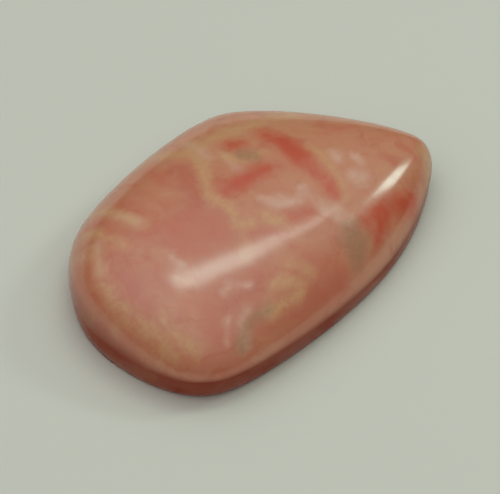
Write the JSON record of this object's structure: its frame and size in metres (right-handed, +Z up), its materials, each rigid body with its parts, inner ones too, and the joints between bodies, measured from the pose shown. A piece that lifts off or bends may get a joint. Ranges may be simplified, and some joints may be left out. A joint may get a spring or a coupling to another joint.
{
  "type": "rhodochrosite cabochon",
  "caption": "Freeform rhodochrosite cabochon: a tapered, drop-shaped pink banded stone with a low polished dome, an upright side and a flat back to rest on.",
  "frame": {"origin": "middle of the stone's box, on the plane of its flat back", "axes": "+X along the stone's length, from the round heel to the tip; +Z up through the dome"},
  "size_m": [0.0314, 0.022, 0.0076],
  "materials": {
    "rhodochrosite": "high polish, slightly translucent salmon pink with red streaks and cream and grey-green veins"
  },
  "bodies": {
    "root": {"stone": "rhodochrosite"}
  },
  "joints": []
}
